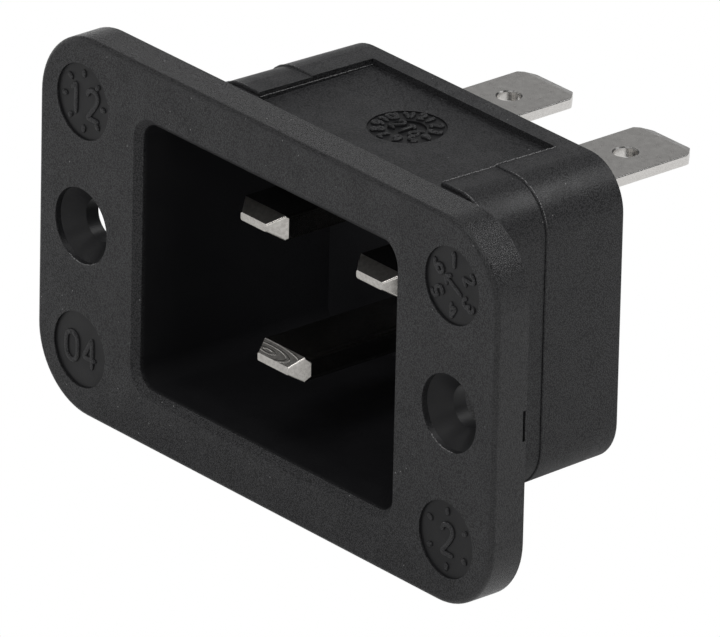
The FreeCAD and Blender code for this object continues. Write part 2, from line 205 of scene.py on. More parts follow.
class SurfaceEffects:
    """Builds each shared node group once. Places are in millimetres."""

    FINE_SCALE, FINE_ROUGHNESS, FINE_SHARE = 2.0, 0.6, 0.35
    TONE_SCALE = 0.05
    SPECK_EDGE: Span = (0.05, 0.11)
    ROLLING: Triple = (1.0, 0.06, 1.0)
    GRIT_SCALE = 13.0
    RINGS_MIDDLE: Triple = (-1.1, -1.5, -3.4)
    RINGS_OVAL: Triple = (0.24, 1.0, 1.0)
    RINGS_SCALE, RINGS_DISTORTION = 0.9, 1.2
    RINGS_CREST: Span = (0.7, 0.95)
    RINGS_REACH: Span = (2.6, 3.6)

    def __init__(self) -> None:
        """Build the groups."""
        self.groups = {
            Effect.GRAIN: self._grain(),
            Effect.SPECKS: self._specks(),
            Effect.MOTTLE: self._mottle(),
        }

    def place(self, graph: ShaderGraph, effect: Effect, inputs: dict[str, Any]) -> Sockets:
        """Outputs of a group put into a material with its inputs' values or sockets."""
        return graph.add("ShaderNodeGroup", inputs, node_tree=self.groups[effect]).outputs

    @staticmethod
    def _start(effect: Effect, values: dict[str, float]) -> tuple[ShaderGraph, Sockets]:
        """Open a group whose inputs are a place and some values.

        Args:
            effect: the group's name.
            values: each value input with its default.

        Returns:
            The group's nodes, and its inputs as the nodes see them.
        """
        tree = bpy.data.node_groups.new(effect.value, "ShaderNodeTree")
        tree.interface.new_socket("Place", in_out="INPUT", socket_type="NodeSocketVector")
        for name, value in values.items():
            socket = tree.interface.new_socket(name, in_out="INPUT", socket_type="NodeSocketFloat")
            socket.default_value = value
        graph = ShaderGraph(tree)
        return graph, graph.add("NodeGroupInput").outputs

    @staticmethod
    def _close(graph: ShaderGraph, results: dict[str, Socket]) -> bpy.types.NodeTree:
        """Close a group.

        Args:
            graph: the group's nodes.
            results: each value output with what feeds it.

        Returns:
            The finished group.
        """
        for name in results:
            graph.tree.interface.new_socket(name, in_out="OUTPUT", socket_type="NodeSocketFloat")
        graph.add("NodeGroupOutput", results)
        return graph.tree

    def _grain(self) -> bpy.types.NodeTree:
        """Spark-eroded grain: rounded bumps about one size apart, with finer noise over them.

        Returns:
            The group, with the grain's height and a broad change of tone.
        """
        graph, start = self._start(Effect.GRAIN, {"Size": 0.1})
        place = graph.in_units(start["Place"], start["Size"])
        crown = graph.math("SUBTRACT", 1.0, graph.cells(place)["Distance"])
        fine = graph.noise(place, self.FINE_SCALE, 1.0, self.FINE_ROUGHNESS)
        height = graph.total(crown, graph.product(fine, self.FINE_SHARE))
        return self._close(graph, {"Height": height, "Tone": graph.noise(place, self.TONE_SCALE, 3.0)})

    def _specks(self) -> bpy.types.NodeTree:
        """Sparse specks: the middles of a few cells, picked by each cell's own random shade.

        Returns:
            The group, with a mask of the specks.
        """
        graph, start = self._start(Effect.SPECKS, {"Spacing": 1.0, "Share": 0.3})
        cells = graph.cells(graph.in_units(start["Place"], start["Spacing"]))
        near = graph.step(cells["Distance"], self.SPECK_EDGE, FALLING)
        shade = graph.add("ShaderNodeSeparateColor", {0: cells["Color"]}).outputs[0]
        picked = graph.math("LESS_THAN", shade, start["Share"])
        return self._close(graph, {"Mask": graph.product(near, picked)})

    def _mottle(self) -> bpy.types.NodeTree:
        """Plated sheet: cloudy patches, lines along one axis, fine grit, and a tool's long rings.

        Returns:
            The group, with one output for each of them.
        """
        graph, start = self._start(Effect.MOTTLE, {"Cloud": 0.6, "Line": 0.05})
        place = start["Place"]
        rolled = graph.in_units(graph.vector("MULTIPLY", place, self.ROLLING), start["Line"])
        centred = graph.vector("SUBTRACT", place, self.RINGS_MIDDLE)
        waves = {
            "Vector": graph.vector("MULTIPLY", centred, self.RINGS_OVAL),
            "Scale": self.RINGS_SCALE,
            "Distortion": self.RINGS_DISTORTION,
            "Detail": 1.0,
        }
        rings = graph.add("ShaderNodeTexWave", waves, wave_type="RINGS", rings_direction="SPHERICAL")
        crest = graph.step(rings.outputs["Fac"], self.RINGS_CREST)
        return self._close(graph, {
            "Cloud": graph.noise(graph.in_units(place, start["Cloud"]), 1.0, 4.0),
            "Lines": graph.noise(rolled, 1.0, 2.0),
            "Grit": graph.noise(place, self.GRIT_SCALE, 2.0),
            "Rings": graph.product(crest, graph.step(graph.length(centred), self.RINGS_REACH, FALLING)),
        })


def new_material(name: str) -> tuple[bpy.types.Material, ShaderGraph]:
    """Material with an empty node tree.

    Args:
        name: the material's name.

    Returns:
        The material and its nodes.
    """
    material = bpy.data.materials.new(name)
    material.use_nodes = True
    material.node_tree.nodes.clear()
    return material, ShaderGraph(material.node_tree)


def screw_pitch() -> float:
    """Distance between the screw holes in millimetres, from the record."""
    mounts = {mount["name"]: mount for mount in frame["record"]["mounts"]}
    return mounts["panel_screws"]["dims"]["spacing_x_mm"]


def object_millimetres(graph: ShaderGraph) -> Socket:
    """Place on the part, in millimetres of its own frame."""
    return graph.scaled(graph.add("ShaderNodeTexCoord").outputs["Object"], 1.0 / MM)


@dataclass(frozen=True)
class MouldedPlastic:
    """Black thermoplastic from a spark-eroded mould.

    The flange's rim is coarser than the rest; screw holes, discs, stamp and recess are smoother. The
    screw holes and the stamp's floors are darkened as painted shade, the discs' floors have a darker
    tone, and the recess runs from painted shade at its mouth to painted light deeper in. A size that
    ends in run is the width of a mask's soft edge.
    """

    name: str = Slot.HOUSING.value
    pit: Colour = (0.010, 0.010, 0.0108, 1.0)
    peak: Colour = (0.042, 0.042, 0.0438, 1.0)
    rim_peak: Colour = (0.04, 0.04, 0.0413, 1.0)
    rim_pit: Colour = (0.015, 0.015, 0.0157, 1.0)
    # In the screw holes this colour is painted shade; on the discs' floors it is a darker tone.
    sunk_peak: Colour = (0.012, 0.012, 0.0128, 1.0)
    # Painted shade on the stamp's floors.
    stamp_peak: Colour = (0.014, 0.014, 0.015, 1.0)
    # Recess colours: painted shade at the mouth, painted light towards the rear.
    recess_front: Colour = (0.009, 0.009, 0.0102, 1.0)
    recess_rear: Colour = (0.045, 0.045, 0.05, 1.0)
    speck: Colour = (0.2, 0.2, 0.2, 1.0)
    speck_spacing_mm: float = 0.6
    speck_share: float = 0.14
    roughness: float = 0.46
    rim_roughness: float = 0.25
    body_roughness: float = 0.42
    tone_span: Span = (0.3, 0.7)
    tone_roughness: Span = (-0.05, 0.05)
    specular: float = 0.2
    grain_mm: float = 0.1
    rim_grain_mm: float = 0.09
    grain_depth_mm: float = 0.022
    rim_depth: float = 1.2
    body_depth: float = 0.6
    sunk_depth: float = 0.25
    crest_span: Span = (0.45, 0.95)
    smooth_share: float = 0.85
    smooth_crest: float = 0.7
    body_start_mm: Span = (-0.05, 0.05)
    sunk_radius_mm: float = 3.0
    disc_run: float = 0.05
    sunk_from_face_mm: float = 0.1
    sunk_run: float = 0.04
    hole_end_mm: float = -0.03
    disc_from_edge_mm: float = 5.1
    recess_mm: Span = (14.5, 10.7)
    recess_span_mm: Span = (-2.5, 16.4)
    recess_run: float = 0.5
    stamp_from_rear_mm: float = 7.08
    stamp_floor_mm: Span = (11.0, 11.46)
    flange_corner_mm: float = 5.8
    rim_start_mm: float = 0.42
    rim_run: float = 0.2

    def material(self, effects: SurfaceEffects) -> bpy.types.Material:
        """Build the material.

        Args:
            effects: the shared node groups.

        Returns:
            The material.
        """
        material, graph = new_material(self.name)
        place = object_millimetres(graph)
        depth_in = graph.parts(place)["Y"]
        fine = effects.place(graph, Effect.GRAIN, {"Place": place, "Size": self.grain_mm})
        coarse = effects.place(graph, Effect.GRAIN, {"Place": place, "Size": self.rim_grain_mm})
        specks = effects.place(graph, Effect.SPECKS, {
            "Place": place, "Spacing": self.speck_spacing_mm, "Share": self.speck_share,
        })
        rim, body = self._rim(graph, place), graph.step(depth_in, self.body_start_mm)
        holes, discs = self._sunk(graph, place)
        stamp, recess = self._stamp(graph, place), self._recess(graph, place)
        smooth = graph.highest(holes, discs, stamp, recess)
        fine_height = graph.product(
            fine["Height"],
            graph.step(body, RISING, (1.0, self.body_depth)),
            graph.step(smooth, RISING, (1.0, self.sunk_depth)),
        )
        height = graph.mix(rim, fine_height, graph.product(coarse["Height"], self.rim_depth))
        grain = graph.mix(rim, fine["Height"], coarse["Height"])
        relief = graph.mix(graph.product(smooth, self.smooth_share), grain, self.smooth_crest)
        # Painted shade at the recess's mouth, growing to painted light towards its rear.
        recess_painted_shade_to_light = graph.blend(
            graph.step(depth_in, (0.0, self.recess_span_mm[1])), self.recess_front, self.recess_rear
        )
        crest = graph.blend(rim, self.peak, self.rim_peak)
        # Place colours: painted shade in the screw holes and the stamp, a darker tone on the discs,
        # painted shade to painted light in the recess.
        for mask, colour in (
            (graph.highest(holes, discs), self.sunk_peak), (stamp, self.stamp_peak), (recess, recess_painted_shade_to_light)
        ):
            crest = graph.blend(mask, crest, colour)
        pit = graph.blend(rim, self.pit, self.rim_pit)
        shade = graph.blend(graph.step(relief, self.crest_span), pit, crest)
        dust = graph.product(specks["Mask"], graph.math("SUBTRACT", 1.0, smooth))
        gloss = graph.total(
            graph.step(body, RISING, (self.roughness, self.body_roughness)),
            graph.step(fine["Tone"], self.tone_span, self.tone_roughness),
        )
        graph.surface("ShaderNodeBsdfPrincipled", {
            "Base Color": graph.blend(dust, shade, self.speck),
            "Roughness": graph.mix(rim, gloss, self.rim_roughness),
            "Specular IOR Level": self.specular,
            "Normal": graph.bump(height, self.grain_depth_mm),
        })
        return material

    def _in_disc(self, graph: ShaderGraph, offset: Socket, plane: Triple) -> Socket:
        """Mask of a sunk disc, from the offset to its middle and 1 for each axis of its plane."""
        reach = graph.length(graph.vector("MULTIPLY", offset, plane))
        return graph.step(reach, (self.sunk_radius_mm - self.disc_run, self.sunk_radius_mm), FALLING)

    def _sunk(self, graph: ShaderGraph, place: Socket) -> list[Socket]:
        """Masks of the screw holes and of the floors of the flange's discs.

        Args:
            graph: the material's nodes.
            place: place on the part in millimetres.

        Returns:
            A value of 1 in the holes, and another in the discs.
        """
        low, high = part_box("housing")
        face = low.y / MM
        depth = graph.parts(place)["Y"]
        below = face + self.sunk_from_face_mm
        inside = graph.step(depth, (below, below + self.sunk_run))
        masks = []
        for height, end in ((0.0, self.hole_end_mm), (high.z / MM - self.disc_from_edge_mm, face / 2)):
            middle = (screw_pitch() / 2, 0.0, height)
            offset = graph.vector("SUBTRACT", graph.vector("ABSOLUTE", place), middle)
            near = self._in_disc(graph, offset, (1, 0, 1))
            masks.append(graph.product(near, inside, graph.math("LESS_THAN", depth, end)))
        return masks

    def _recess(self, graph: ShaderGraph, place: Socket) -> Socket:
        """Mask of the recess's walls and end, which a polished core leaves smooth; their colour runs
        from painted shade at the mouth to painted light deeper in.

        Args:
            graph: the material's nodes.
            place: place on the part in millimetres.

        Returns:
            A value of 1 in the recess.
        """
        apart = graph.parts(graph.vector("ABSOLUTE", place))
        depth = graph.parts(place)["Y"]
        front, rear = self.recess_span_mm
        return graph.product(
            graph.math("LESS_THAN", apart["X"], self.recess_mm[0]),
            graph.math("LESS_THAN", apart["Z"], self.recess_mm[1]),
            graph.step(depth, (front, front + self.recess_run)),
            graph.math("LESS_THAN", depth, rear),
        )

    def _stamp(self, graph: ShaderGraph, place: Socket) -> Socket:
        """Mask of the floors of the pocket's round stamp, which are smoother and darkened as painted
        shade.

        Args:
            graph: the material's nodes.
            place: place on the part in millimetres.

        Returns:
            A value of 1 on those floors.
        """
        middle = (0.0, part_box("housing")[1].y / MM - self.stamp_from_rear_mm, 0.0)
        height = graph.parts(place)["Z"]
        low, high = self.stamp_floor_mm
        return graph.product(
            self._in_disc(graph, graph.vector("SUBTRACT", place, middle), (1, 1, 0)),
            graph.math("GREATER_THAN", height, low),
            graph.math("LESS_THAN", height, high),
        )

    def _rim(self, graph: ShaderGraph, place: Socket) -> Socket:
        """Mask of the flange's rim: places near the round-cornered outline, in front of the body.

        Args:
            graph: the material's nodes.
            place: place on the part in millimetres.

        Returns:
            A value of 1 on the rim.
        """
        low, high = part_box("housing")
        wide, tall = (high.x - low.x) / 2 / MM, (high.z - low.z) / 2 / MM
        inner = (wide - self.flange_corner_mm, 0.0, tall - self.flange_corner_mm)
        beyond = graph.vector("SUBTRACT", graph.vector("ABSOLUTE", place), inner)
        outside = graph.vector("MULTIPLY", graph.vector("MAXIMUM", beyond), (1, 0, 1))
        edge = self.flange_corner_mm - self.rim_start_mm
        near = graph.step(graph.length(outside), (edge, edge + self.rim_run))
        return graph.product(near, graph.step(graph.parts(place)["Y"], self.body_start_mm, FALLING))


@dataclass(frozen=True)
class PlatedContact:
    """Nickel plate over brass. Where edge_shade is set, the rounded long edges and the tip's bevel are
    darkened as painted shade.

    A span of facing is a range of one part of the normal, over which a mask comes or goes.
    """

    slot: Slot
    dark: Colour
    pale: Colour
    roughness: float
    roughness_spread: float
    relief_mm: float
    cloud_mm: float
    grit: float
    tooling: float = 0.0
    edge_shade: float = 0.0
    tip_roughness: float = 0.0
    # Colour of the painted shade on the rounded edges and the tip's bevel.
    worn: Colour = (0.05, 0.05, 0.05, 1.0)
    line_mm: float = 0.05
    cloud_span: Span = (0.3, 0.7)
    patch_span: Span = (0.36, 0.64)
    slope_up_facing: Span = (0.7, 0.8)
    slope_front_facing: Span = (-0.5, -0.4)
    edge_facing: Span = (0.15, 0.35)
    bevel_facing: Span = (0.1, 0.25)
    bevel_start_mm: Span = (25.5, 25.8)
    bevel_share: float = 0.6

    def material(self, effects: SurfaceEffects) -> bpy.types.Material:
        """Build the material.

        Args:
            effects: the shared node groups.

        Returns:
            The material.
        """
        material, graph = new_material(self.slot.value)
        place = object_millimetres(graph)
        normal = graph.add("ShaderNodeTexCoord").outputs["Normal"]
        facing, turned = graph.parts(normal), graph.parts(graph.vector("ABSOLUTE", normal))
        mottle = effects.place(graph, Effect.MOTTLE, {
            "Place": place, "Cloud": self.cloud_mm, "Line": self.line_mm,
        })
        grit = graph.product(mottle["Grit"], self.grit)
        patchy = graph.total(graph.product(mottle["Cloud"], 1.0 - self.grit), grit)
        plate = graph.blend(graph.step(patchy, self.patch_span), self.dark, self.pale)
        slope = graph.product(
            graph.step(facing["Z"], self.slope_up_facing),
            graph.step(facing["Y"], self.slope_front_facing, FALLING),
        )
        upright = graph.step(turned["Z"], self.edge_facing)
        edge = graph.product(graph.step(turned["X"], self.edge_facing), upright)
        bevel = graph.product(
            graph.step(turned["Y"], self.bevel_facing),
            upright,
            graph.step(graph.parts(place)["Y"], self.bevel_start_mm),
            self.bevel_share,
        )
        # Painted shade: the rounded long edges and the tip's bevel are darkened towards the painted
        # shade colour.
        shaded = graph.product(graph.highest(edge, bevel), self.edge_shade)
        rings = graph.product(mottle["Rings"], slope, self.tooling)
        low, high = self.roughness - self.roughness_spread, self.roughness + self.roughness_spread
        satin = graph.total(
            graph.step(mottle["Cloud"], self.cloud_span, (low, high)),
            graph.product(slope, self.tip_roughness),
        )
        graph.surface("ShaderNodeBsdfPrincipled", {
            "Base Color": graph.blend(shaded, plate, self.worn),
            "Metallic": 1.0,
            "Roughness": satin,
            "Normal": graph.bump(graph.total(mottle["Lines"], grit, rings), self.relief_mm),
        })
        return material


PIN_PLATE = PlatedContact(
    slot=Slot.PIN,
    dark=(0.39, 0.375, 0.355, 1.0),
    pale=(0.49, 0.475, 0.45, 1.0),
    roughness=0.22,
    roughness_spread=0.01,
    relief_mm=0.0003,
    cloud_mm=0.3,
    grit=0.2,
    tooling=87.0,
    tip_roughness=0.1,
)
TERMINAL_PLATE = PlatedContact(
    slot=Slot.TERMINAL,
    dark=(0.58, 0.565, 0.545, 1.0),
    pale=(0.69, 0.675, 0.655, 1.0),
    roughness=0.33,
    roughness_spread=0.06,
    relief_mm=0.004,
    cloud_mm=0.6,
    grit=0.75,
    edge_shade=0.9,
)
# Pale flash and burr: partly the whitening of stressed plastic, partly a painted glint.
FLASH_WHITENING_AND_PAINTED_GLINT = MouldedPlastic(
    name="flash_plastic_whitened_and_painted_glint", pit=(0.04, 0.04, 0.042, 1.0), peak=(0.24, 0.24, 0.24, 1.0)
)


class StrokeNumerals:
    """Plain engraved-style numerals, each a few strokes through given points in a box one high."""

    STROKES: dict[str, list[list[tuple[float, float]]]] = {
        " ": [],
        "0": [[(0.3, 1.0), (0.56, 0.8), (0.56, 0.2), (0.3, 0.0), (0.04, 0.2), (0.04, 0.8), (0.3, 1.0)]],
        "1": [[(0.12, 0.78), (0.34, 1.0)], [(0.34, 1.0), (0.34, 0.0)]],
        "2": [[(0.04, 0.76), (0.16, 0.96), (0.44, 0.98), (0.56, 0.76), (0.4, 0.44), (0.04, 0.0)],
              [(0.04, 0.0), (0.58, 0.0)]],
        "3": [[(0.06, 0.88), (0.3, 1.0), (0.54, 0.84), (0.48, 0.6), (0.24, 0.53)],
              [(0.24, 0.53), (0.54, 0.42), (0.56, 0.14), (0.3, 0.0), (0.04, 0.12)]],
        "4": [[(0.44, 0.0), (0.44, 1.0)], [(0.44, 1.0), (0.02, 0.3)], [(0.02, 0.3), (0.6, 0.3)]],
        "5": [[(0.54, 1.0), (0.1, 1.0)], [(0.1, 1.0), (0.06, 0.54)],
              [(0.06, 0.54), (0.34, 0.62), (0.56, 0.4), (0.48, 0.08), (0.24, 0.0), (0.02, 0.1)]],
        "6": [[(0.5, 0.98), (0.18, 0.7), (0.04, 0.3), (0.16, 0.04), (0.42, 0.02), (0.56, 0.28),
               (0.42, 0.54), (0.18, 0.5), (0.05, 0.32)]],
        "7": [[(0.02, 1.0), (0.58, 1.0)], [(0.58, 1.0), (0.22, 0.0)]],
        "8": [[(0.3, 0.54), (0.08, 0.74), (0.18, 0.96), (0.42, 0.96), (0.52, 0.74), (0.3, 0.54),
               (0.04, 0.28), (0.14, 0.03), (0.46, 0.03), (0.56, 0.28), (0.3, 0.54)]],
        "9": [[(0.1, 0.02), (0.42, 0.3), (0.56, 0.7), (0.44, 0.96), (0.18, 0.98), (0.04, 0.72),
               (0.18, 0.46), (0.42, 0.5), (0.55, 0.68)]],
    }
    ADVANCE = 0.86
    GLYPH_WIDTH = 0.6

    @classmethod
    def strokes(cls, text: str, height: float) -> list[np.ndarray]:
        """Strokes of a number, centred on the origin.

        Args:
            text: digits and spaces.
            height: height of a digit.

        Returns:
            One array of points in the plane for each stroke.
        """
        width = cls.ADVANCE * (len(text) - 1) + cls.GLYPH_WIDTH
        shift = np.array((width / 2, 0.5))
        return [
            (np.array(stroke) + (cls.ADVANCE * place, 0.0) - shift) * height
            for place, digit in enumerate(text)
            for stroke in cls.STROKES[digit]
        ]


def smooth_path(points: np.ndarray, per_span: int) -> np.ndarray:
    """Catmull-Rom curve.

    Between two points it is the cubic whose end slopes are half the chord of their neighbours.

    Args:
        points: the points it passes through, one a row.
        per_span: how many steps each span has.

    Returns:
        Points along the curve.
    """
    padded = np.vstack([2 * points[:1] - points[1:2], points, 2 * points[-1:] - points[-2:-1]])
    spans = np.stack([padded[:-3], padded[1:-2], padded[2:-1], padded[3:]], axis=1)
    t = np.arange(per_span) / per_span
    powers = np.stack([np.ones_like(t), t, t**2, t**3], axis=1)
    basis = 0.5 * np.array([[0, 2, 0, 0], [-1, 0, 1, 0], [2, -5, 4, -1], [-1, 3, -3, 1]])
    curve = np.einsum("tk,kp,spd->std", powers, basis, spans).reshape(-1, points.shape[1])
    return np.vstack([curve, points[-1:]])


def round_ends(path: np.ndarray, half: float) -> np.ndarray:
    """Share of full size along a path whose ends are round.

    The share is the square root of 1 - (1 - s)^2, where s is the distance to the nearer end in half
    widths, with a third of one added and no more than 1 counted.

    Args:
        path: points, one a row.
        half: half width of what follows the path.

    Returns:
        One share for each point.
    """
    along = np.concatenate([[0.0], np.cumsum(np.linalg.norm(np.diff(path, axis=0), axis=1))])
    to_end = np.clip(np.minimum(along, along[-1] - along) / half + 1 / 3, 0.0, 1.0)
    return np.sqrt(1 - (1 - to_end) ** 2)


def spun(points: np.ndarray, angle: float) -> np.ndarray:
    """Points of a plane turned about its origin, anticlockwise for a positive angle in radians."""
    c, s = math.cos(angle), math.sin(angle)
    return points @ np.array([[c, s], [-s, c]])


def bead(path: np.ndarray, half_width: np.ndarray, rise: np.ndarray, up: Triple, sides: int = 12
         ) -> tuple[np.ndarray, np.ndarray]:
    """Closed bead along a path, with a flat top and steep sides.

    A point is the path's point plus side times half width times c plus lift times rise times s: c and
    s are cos(a) and sin(a) with their sizes raised to the power BEAD_FULLNESS. Side is square to the
    path and to up, and lift is square to side and the path. One point half a width beyond each end
    closes it.

    Args:
        path: points in space, one a row.
        half_width: half width at each point.
        rise: height at each point over the path.
        up: direction away from the surface that carries the bead.
        sides: corners of its section.

    Returns:
        Vertices, and triangles that face outwards.
    """
    tangent = np.gradient(path, axis=0)
    tangent /= np.linalg.norm(tangent, axis=1, keepdims=True)
    side = np.cross(tangent, np.array(up))
    side /= np.linalg.norm(side, axis=1, keepdims=True)
    lift = np.cross(side, tangent)
    angle = np.arange(sides) * 2 * math.pi / sides
    c, s = (np.sign(wave) * np.abs(wave) ** BEAD_FULLNESS for wave in (np.cos(angle), np.sin(angle)))
    across = (half_width[:, None] * c)[:, :, None] * side[:, None, :]
    over = (rise[:, None] * s)[:, :, None] * lift[:, None, :]
    rings = (path[:, None, :] + across + over).reshape(-1, 3)
    poles = np.stack([path[0] - tangent[0] * half_width[0], path[-1] + tangent[-1] * half_width[-1]])
    ring = np.arange(len(path) - 1)[:, None] * sides
    here, after = np.arange(sides), (np.arange(sides) + 1) % sides
    near, next_near = ring + here, ring + after
    far, next_far = near + sides, next_near + sides
    walls = np.concatenate([
        np.stack([near, next_near, next_far], -1),
        np.stack([near, next_far, far], -1),
    ]).reshape(-1, 3)
    last = (len(path) - 1) * sides
    first_pole, last_pole = np.full(sides, len(rings)), np.full(sides, len(rings) + 1)
    caps = np.concatenate([
        np.stack([first_pole, after, here], -1),
        np.stack([last_pole, last + here, last + after], -1),
    ])
    vertices, triangles = np.vstack([rings, poles]), np.concatenate([walls, caps])
    corner = vertices[triangles] - path[0]
    volume = np.einsum("ij,ij->i", corner[:, 0], np.cross(corner[:, 1], corner[:, 2])).sum()
    return vertices, triangles if volume > 0 else triangles[:, ::-1]


def new_piece(name: str, vertices: np.ndarray, faces: np.ndarray, material: bpy.types.Material
              ) -> bpy.types.Object:
    """Smooth-shaded mesh object at the origin with its place in its vertices.

    Args:
        name: the piece's name.
        vertices: places in metres, one a row.
        faces: vertex numbers, one face a row.
        material: the piece's finish.

    Returns:
        The object, linked to the scene.
    """
    mesh = bpy.data.meshes.new(name)
    mesh.from_pydata(vertices.tolist(), [], faces.tolist())
    mesh.polygons.foreach_set("use_smooth", np.full(len(faces), True))
    mesh.update()
    mesh.materials.append(material)
    piece = bpy.data.objects.new(name, mesh)
    bpy.context.scene.collection.objects.link(piece)
    return piece


def add_moulded(name: str, vertices: np.ndarray, faces: np.ndarray, material: bpy.types.Material
                ) -> None:
    """Add a small piece that belongs to the housing and rides on the body.

    Args:
        name: the piece's name.
        vertices: places in metres, one a row.
        faces: vertex numbers, one face a row.
        material: the piece's finish.
    """
    piece = new_piece(name, vertices, faces, material)
    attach(piece, BODY)
    LOG.info("%s: %d triangles", name, len(faces))


@dataclass(frozen=True)
class DialMark:
    """Raised dial in a sunk disc: numerals or ticks in a ring, a pointer or number in its middle."""

    name: str
    numerals: tuple[str, ...] = ()
    numeral_mm: float = 0.8
    numeral_ring_mm: float = 2.15
    ticks: int = 0
    tick_ring_mm: Span = (1.95, 2.4)
    pointer_mm: float = 0.0
    pointer_deg: float = 0.0
    barb_share: float = 0.45
    middle: str = ""
    middle_mm: float = 2.3
    stroke_mm: float = 0.42
    rise_mm: float = 0.14
    steps: int = 6

    def flat_strokes(self) -> list[np.ndarray]:
        """All strokes in the disc's plane.

        Returns:
            One array of points in millimetres for each stroke.
        """
        found = []
        for index, numeral in enumerate(self.numerals):
            turn = -2 * math.pi * index / len(self.numerals)
            strokes = StrokeNumerals.strokes(numeral, self.numeral_mm)
            found += [spun(stroke + (0.0, self.numeral_ring_mm), turn) for stroke in strokes]
        for index in range(self.ticks):
            turn = 2 * math.pi * index / self.ticks
            found.append(np.outer(self.tick_ring_mm, (math.sin(turn), math.cos(turn))))
        if self.pointer_mm:
            tip, barb = self.pointer_mm, self.pointer_mm * self.barb_share
            shaft = [(0, -tip), (0, tip)]
            barbs = [[(-barb, tip - barb), (0, tip)], [(barb, tip - barb), (0, tip)]]
            turn = math.radians(self.pointer_deg)
            found += [spun(np.array(line, float), turn) for line in (shaft, *barbs)]
        return found + StrokeNumerals.strokes(self.middle, self.middle_mm)

    def build(self, seat: Matrix, material: bpy.types.Material) -> None:
        """Make the mark on its seat, each stroke a bead.

        Args:
            seat: across, up and outward directions of the disc with its middle, in metres.
            material: the housing's finish.
        """
        vertices, faces, count = [], [], 0
        half = self.stroke_mm / 2
        for stroke in self.flat_strokes():
            line = smooth_path(stroke, self.steps)
            share = round_ends(line, half)
            line = np.column_stack([line, np.zeros(len(line))])
            corners, triangles = bead(line, share * half, share * self.rise_mm, UP)
            vertices.append(corners)
            faces.append(triangles + count)
            count += len(corners)
        flat = np.vstack(vertices) * MM
        placed = flat @ np.array(seat.to_3x3()).T + np.array(seat.translation)
        add_moulded(self.name, placed, np.vstack(faces), material)


MONTHS = tuple(str(month) for month in range(1, 13))
FLANGE_DIALS: tuple[tuple[DialMark, int, int], ...] = (
    (DialMark("dial_upper_left", ticks=8, middle="12"), -1, 1),
    (DialMark("dial_upper_right", MONTHS[:6], numeral_mm=1.15, numeral_ring_mm=1.95,
              pointer_mm=1.0, pointer_deg=60.0, stroke_mm=0.34), 1, 1),
    (DialMark("dial_lower_left", middle="04"), -1, -1),
    (DialMark("dial_lower_right", ticks=6, middle="2"), 1, -1),
)
POCKET_STAMP = DialMark(
    "pocket_stamp", MONTHS, numeral_mm=0.86, numeral_ring_mm=2.2, stroke_mm=0.3, rise_mm=0.2
)
POCKET_DIAL = DialMark(
    "pocket_dial", pointer_mm=0.75, middle="2 6", middle_mm=1.25, stroke_mm=0.3, rise_mm=0.26
)


@dataclass(frozen=True)
class FlashLine:
    """Thin ragged flash that the mould leaves along a straight edge of the pocket."""

    name: str
    x_mm: float
    from_y_mm: float
    to_y_mm: float
    width_mm: float = 0.15
    rise_share: float = 1.1
    waves: Triple = (4.1, 9.7, 23.0)
    width_shares: Triple = (0.35, 0.55, 0.15)
    sway_mm: float = 0.02
    sway: float = 6.3
    steps: int = 140

    def along(self) -> np.ndarray:
        """Places along the edge, in millimetres."""
        return np.linspace(self.from_y_mm, self.to_y_mm, self.steps)

    def rays(self) -> list[tuple[Vector, Vector]]:
        """Start and direction of a ray down to the edge at each step, in metres."""
        return [(Vector((self.x_mm * MM, y * MM, 1.0)), Vector((0, 0, -1))) for y in self.along()]

    def build(self, edge: np.ndarray, material: bpy.types.Material) -> None:
        """Make the flash as a bead that sways a little and whose width is ragged.

        The width's share is a mean plus a swing times the size of w, but not below the least share or
        above 1. With a, b and c the waves in radians a millimetre and y the place along the edge, w is
        sin(a y) sin(b y + 1) + sin(c y) / 2.

        Args:
            edge: places met on the edge, in metres.
            material: the flash's finish.
        """
        y = self.along()
        long, middling, short = self.waves
        mean, swing, least = self.width_shares
        wave = np.sin(long * y) * np.sin(middling * y + 1.0) + 0.5 * np.sin(short * y)
        half = self.width_mm / 2 * np.clip(mean + swing * np.abs(wave), least, 1.0)
        line = np.column_stack([self.x_mm + self.sway_mm * np.sin(self.sway * y), y, edge[:, 2] / MM])
        vertices, faces = bead(line, half, half * self.rise_share, UP, FLASH_SIDES)
        add_moulded(self.name, vertices * MM, faces, material)


@dataclass(frozen=True)
class BandFlash:
    """Thin flash where a band of the body begins, round one upper corner."""

    name: str
    y_mm: float
    side: int
    from_deg: float = 100.0
    to_deg: float = 12.0
    corner_mm: Span = (12.1, 8.25)
    ray_mm: float = 20.0
    width_mm: float = 0.1
    waves: Span = (37.0, 11.0)
    width_shares: Span = (0.75, 0.25)
    taper: float = 6.0
    least_end: float = 0.12
    steps: int = 90

    def rays(self) -> list[tuple[Vector, Vector]]:
        """Rays inwards, one at each step round the corner.

        Returns:
            Start in metres and direction of each ray.
        """
        angle = np.radians(np.linspace(self.from_deg, self.to_deg, self.steps))
        outward = np.column_stack([self.side * np.cos(angle), np.zeros(self.steps), np.sin(angle)])
        middle = np.array((self.side * self.corner_mm[0], self.y_mm, self.corner_mm[1])) * MM
        return [(Vector(middle + self.ray_mm * MM * way), Vector(-way)) for way in outward]

    def build(self, edge: np.ndarray, material: bpy.types.Material) -> None:
        """Make the flash as a bead of ragged width that fades towards both ends.

        With t the share of the way and a and b the waves in radians, the width's share is a mean plus
        a swing times sin(a t) sin(b t + 0.6), times the taper's share of the way to the nearer end.

        Args:
            edge: places met round the corner, in metres.
            material: the flash's finish.
        """
        share = np.linspace(0.0, 1.0, self.steps)
        (short, long), (mean, swing) = self.waves, self.width_shares
        ragged = mean + swing * np.sin(short * share) * np.sin(long * share + 0.6)
        fade = np.clip(self.taper * np.minimum(share, 1 - share), self.least_end, 1.0)
        half = self.width_mm / 2 * ragged * fade
        vertices, faces = bead(edge / MM, half, half, FORWARD, FLASH_SIDES)
        add_moulded(self.name, vertices * MM, faces, material)


